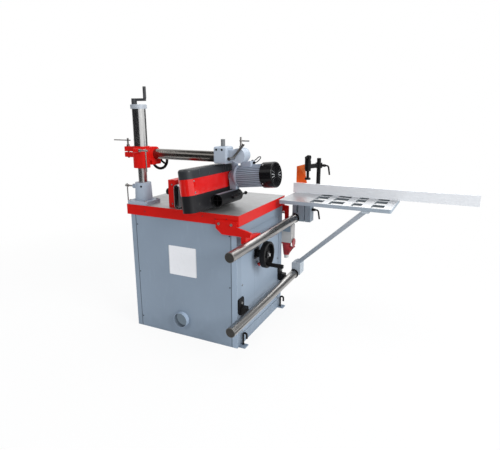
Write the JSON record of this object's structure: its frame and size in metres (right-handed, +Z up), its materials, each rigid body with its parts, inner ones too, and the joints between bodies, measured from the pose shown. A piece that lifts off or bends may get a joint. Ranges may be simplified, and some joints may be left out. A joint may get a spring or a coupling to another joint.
{
  "type": "spindle moulder with sliding table and power feeder",
  "caption": "Floor-standing spindle moulder: sheet cabinet, ground table with fence, sliding cross-cut table on round bars and an overarm power feeder on a column.",
  "frame": {"origin": "on the floor, at the centre of the four anchor holes in the cabinet floor", "axes": "+X along the cabinet's front towards the sliding table's outer end, +Y away from the operator, +Z up"},
  "size_m": [2.207, 1.1845, 1.5804],
  "materials": {
    "cabinet_paint": "pale blue-grey satin paint",
    "red_plastic": "red moulded cap",
    "black_paint": "black satin paint",
    "table_iron": "ground top with a red painted rim",
    "cast_grey": "machined casting",
    "ground_steel": "ground bright",
    "alloy": "pale mill finish",
    "motor_paint": "dark grey paint",
    "belt_rubber": "matt",
    "black_plastic": "black moulded",
    "red_paint": "bright red gloss paint",
    "bolt_steel": "bright zinc",
    "orange_plastic": "orange sheet",
    "grey_plastic": "pale grey moulded",
    "dark_red_plastic": "dark red moulded",
    "feeder_paint": "pale blue-grey paint",
    "bright_chrome": "polished plate",
    "crank_grey": "dark grey",
    "dark_gloss_paint": "dark grey gloss paint",
    "roller_rubber": "black tyre",
    "black_gloss": "black gloss",
    "cable_rubber": "black sheath"
  },
  "bodies": {
    "machine": {"cabinet_shell": "cabinet_paint", "side_panel": "cabinet_paint", "lifting_hooks": "black_paint", "main_table": "table_iron", "frame_bolts": "bolt_steel", "guide_bars": "ground_steel", "upper_bar_brackets": "red_paint", "lower_bar_brackets": "black_paint", "switch_box": "grey_plastic", "power_inlet": "dark_red_plastic", "stand_base": "feeder_paint"},
    "stop_button": {"stop_button": "red_plastic"},
    "inlet_lid": {"inlet_lid": "dark_red_plastic"},
    "fence": {"fence_hood": "red_paint", "fence_profiles": "alloy"},
    "fence_knob": {"fence_knob": "black_plastic"},
    "quill": {"quill": "cast_grey", "drive_motor": "motor_paint", "drive_belt": "belt_rubber"},
    "spindle": {"spindle_shaft": "ground_steel", "spindle_pulley": "alloy"},
    "motor_pulley": {"motor_pulley": "alloy"},
    "handwheel": {"handwheel": "black_plastic"},
    "sliding_table": {"sliding_plate": "alloy", "slide_carriage": "cabinet_paint", "support_strut": "cabinet_paint", "strut_shoe": "cabinet_paint", "cross_fence": "alloy", "guard_plate": "orange_plastic"},
    "carriage_lever": {"carriage_lever": "black_plastic"},
    "clamp_post": {"clamp_post": "black_paint"},
    "clamp_arm": {"clamp_arm": "black_paint"},
    "clamp_lever": {"clamp_lever": "black_plastic"},
    "clamp_plunger": {"clamp_plunger": "black_paint"},
    "clamp_cam": {"clamp_cam": "black_paint"},
    "base_lever": {"base_lever": "bright_chrome"},
    "stand_post": {"stand_post": "ground_steel"},
    "stand_head": {"stand_tube": "bright_chrome", "stand_cap": "alloy", "cross_bracket": "red_paint"},
    "stand_crank": {"stand_crank": "crank_grey"},
    "column_lever": {"column_lever": "bright_chrome"},
    "arm_lever": {"arm_lever": "bright_chrome"},
    "arm": {"arm_tube": "bright_chrome"},
    "arm_handwheel": {"arm_handwheel": "black_plastic"},
    "knuckle": {"knuckle": "feeder_paint"},
    "knuckle_lever": {"knuckle_lever": "bright_chrome"},
    "tilt_lever": {"tilt_lever": "bright_chrome"},
    "feeder": {"gearbox": "feeder_paint", "feeder_motor": "feeder_paint", "fan_cover": "black_gloss", "casing_upper": "dark_gloss_paint", "casing_band": "red_paint", "casing_lower": "dark_gloss_paint", "motor_cable": "cable_rubber"},
    "speed_lever": {"speed_lever": "black_plastic"},
    "feed_roller_1": {"feed_roller_1": "roller_rubber"},
    "feed_roller_2": {"feed_roller_2": "roller_rubber"},
    "feed_roller_3": {"feed_roller_3": "roller_rubber"},
    "feed_roller_4": {"feed_roller_4": "roller_rubber"}
  },
  "joints": [
    {"name": "stop_press", "type": "slide", "parent": "machine", "child": "stop_button", "axis": [-1, 0, 0], "range_m": [0, 0.004], "stiffness_N_per_m": 900},
    {"name": "lid_turn", "type": "hinge", "parent": "machine", "child": "inlet_lid", "pos_m": [0.48386, 0.399, 0.45774], "axis": [0, 1, 0], "range_deg": [0, 205]},
    {"name": "fence_shift", "type": "slide", "parent": "machine", "child": "fence", "axis": [1, 0, 0], "range_m": [-0.03, 0.02]},
    {"name": "fence_knob_turn", "type": "hinge", "parent": "fence", "child": "fence_knob", "pos_m": [-0.0844, -0.31, 0.946], "axis": [1, 0, 0], "range_deg": [-180, 180]},
    {"name": "spindle_lift", "type": "slide", "parent": "machine", "child": "quill", "axis": [0, 0, 1], "range_m": [-0.05, 0.03]},
    {"name": "spindle_spin", "type": "hinge", "parent": "quill", "child": "spindle", "pos_m": [-0.01, 0, 0.788], "axis": [0, 0, 1], "continuous": true},
    {"name": "motor_spin", "type": "hinge", "parent": "quill", "child": "motor_pulley", "pos_m": [-0.245, 0, 0.558], "axis": [0, 0, 1], "continuous": true},
    {"name": "handwheel_turn", "type": "hinge", "parent": "machine", "child": "handwheel", "pos_m": [0.4, -0.082, 0.544], "axis": [1, 0, 0], "range_deg": [-191, 115]},
    {"name": "table_slide", "type": "slide", "parent": "machine", "child": "sliding_table", "axis": [0, -1, 0], "range_m": [-0.03, 0.43]},
    {"name": "carriage_lever_turn", "type": "hinge", "parent": "sliding_table", "child": "carriage_lever", "pos_m": [0.59, 0.479, 0.738], "axis": [1, 0, 0], "range_deg": [-60, 60]},
    {"name": "clamp_swing", "type": "hinge", "parent": "sliding_table", "child": "clamp_post", "pos_m": [0.599, 0.576, 0.85], "axis": [0, 0, 1], "range_deg": [-15, 60]},
    {"name": "clamp_height", "type": "slide", "parent": "clamp_post", "child": "clamp_arm", "axis": [0, 0, 1], "range_m": [-0.1, 0.03]},
    {"name": "clamp_lever_turn", "type": "hinge", "parent": "clamp_arm", "child": "clamp_lever", "pos_m": [0.624, 0.576, 1.052], "axis": [1, 0, 0], "range_deg": [0, 60]},
    {"name": "clamp_press", "type": "slide", "parent": "clamp_arm", "child": "clamp_plunger", "axis": [0, 0, -1], "range_m": [0, 0.008]},
    {"name": "clamp_cam_turn", "type": "hinge", "parent": "clamp_arm", "child": "clamp_cam", "pos_m": [0.551, 0.47, 1.116], "axis": [-0.911, 0.4125, 0], "range_deg": [0, 90]},
    {"name": "base_lever_turn", "type": "hinge", "parent": "machine", "child": "base_lever", "pos_m": [-0.371, -0.284, 0.956], "axis": [1, 0, 0], "range_deg": [-90, 90]},
    {"name": "stand_swing", "type": "hinge", "parent": "machine", "child": "stand_post", "pos_m": [-0.32, -0.284, 0.85], "axis": [0, 0, -1], "range_deg": [-15, 75]},
    {"name": "stand_lift", "type": "slide", "parent": "stand_post", "child": "stand_head", "axis": [0, 0, 1], "range_m": [-0.006, 0.22]},
    {"name": "crank_turn", "type": "hinge", "parent": "stand_head", "child": "stand_crank", "pos_m": [-0.352, -0.284, 1.448], "axis": [0, 0, 1], "range_deg": [-540, 19800]},
    {"name": "column_lever_turn", "type": "hinge", "parent": "stand_head", "child": "column_lever", "pos_m": [-0.286, -0.349, 1.196], "axis": [1, 0, 0], "range_deg": [-30, 60]},
    {"name": "arm_lever_turn", "type": "hinge", "parent": "stand_head", "child": "arm_lever", "pos_m": [-0.424, -0.284, 1.214], "axis": [0, 0, 1], "range_deg": [-60, 60]},
    {"name": "arm_feed", "type": "slide", "parent": "stand_head", "child": "arm", "axis": [-1, 0, 0], "range_m": [-0.05, 0.08]},
    {"name": "arm_wheel_turn", "type": "hinge", "parent": "stand_head", "child": "arm_handwheel", "pos_m": [-0.3, -0.192, 1.1195], "axis": [0, -1, 0], "range_deg": [-213, 340]},
    {"name": "head_pitch", "type": "hinge", "parent": "arm", "child": "knuckle", "pos_m": [0.185, -0.192, 1.164], "axis": [-1, 0, 0], "range_deg": [0, 3]},
    {"name": "knuckle_lever_turn", "type": "hinge", "parent": "knuckle", "child": "knuckle_lever", "pos_m": [0.313, -0.215, 1.163], "axis": [0, 1, 0], "range_deg": [-35, 50]},
    {"name": "tilt_lever_turn", "type": "hinge", "parent": "knuckle", "child": "tilt_lever", "pos_m": [0.34, -0.175, 1.22], "axis": [0, 0, 1], "range_deg": [-60, 60]},
    {"name": "feeder_swivel", "type": "hinge", "parent": "knuckle", "child": "feeder", "pos_m": [0.24335, -0.07368, 1.12765], "axis": [0.113, -0.0069, -0.9936], "range_deg": [-10, 10]},
    {"name": "speed_shift", "type": "hinge", "parent": "feeder", "child": "speed_lever", "pos_m": [0.30995, -0.21701, 0.92586], "axis": [0.9917, -0.0607, 0.1132], "range_deg": [-10, 6]},
    {"name": "roller_spin_1", "type": "hinge", "parent": "feeder", "child": "feed_roller_1", "pos_m": [0.16257, -0.43742, 0.91164], "axis": [0.9917, -0.0607, 0.1132], "continuous": true},
    {"name": "roller_spin_2", "type": "hinge", "parent": "feeder", "child": "feed_roller_2", "pos_m": [0.16941, -0.32563, 0.91164], "axis": [0.9917, -0.0607, 0.1132], "continuous": true},
    {"name": "roller_spin_3", "type": "hinge", "parent": "feeder", "child": "feed_roller_3", "pos_m": [0.17624, -0.21384, 0.91164], "axis": [0.9917, -0.0607, 0.1132], "continuous": true},
    {"name": "roller_spin_4", "type": "hinge", "parent": "feeder", "child": "feed_roller_4", "pos_m": [0.18308, -0.10205, 0.91164], "axis": [0.9917, -0.0607, 0.1132], "continuous": true}
  ],
  "couplings": [
    {"joint": "handwheel_turn", "follows": "spindle_lift", "rad_per_m": 66.667},
    {"joint": "motor_spin", "follows": "spindle_spin", "ratio": 0.75},
    {"joint": "crank_turn", "follows": "stand_lift", "rad_per_m": 1570.8},
    {"joint": "arm_wheel_turn", "follows": "arm_feed", "rad_per_m": 74.074},
    {"joint": "clamp_cam_turn", "follows": "clamp_press", "rad_per_m": 196.35},
    {"joint": "roller_spin_2", "follows": "roller_spin_1", "ratio": 1},
    {"joint": "roller_spin_3", "follows": "roller_spin_1", "ratio": 1},
    {"joint": "roller_spin_4", "follows": "roller_spin_1", "ratio": 1}
  ]
}
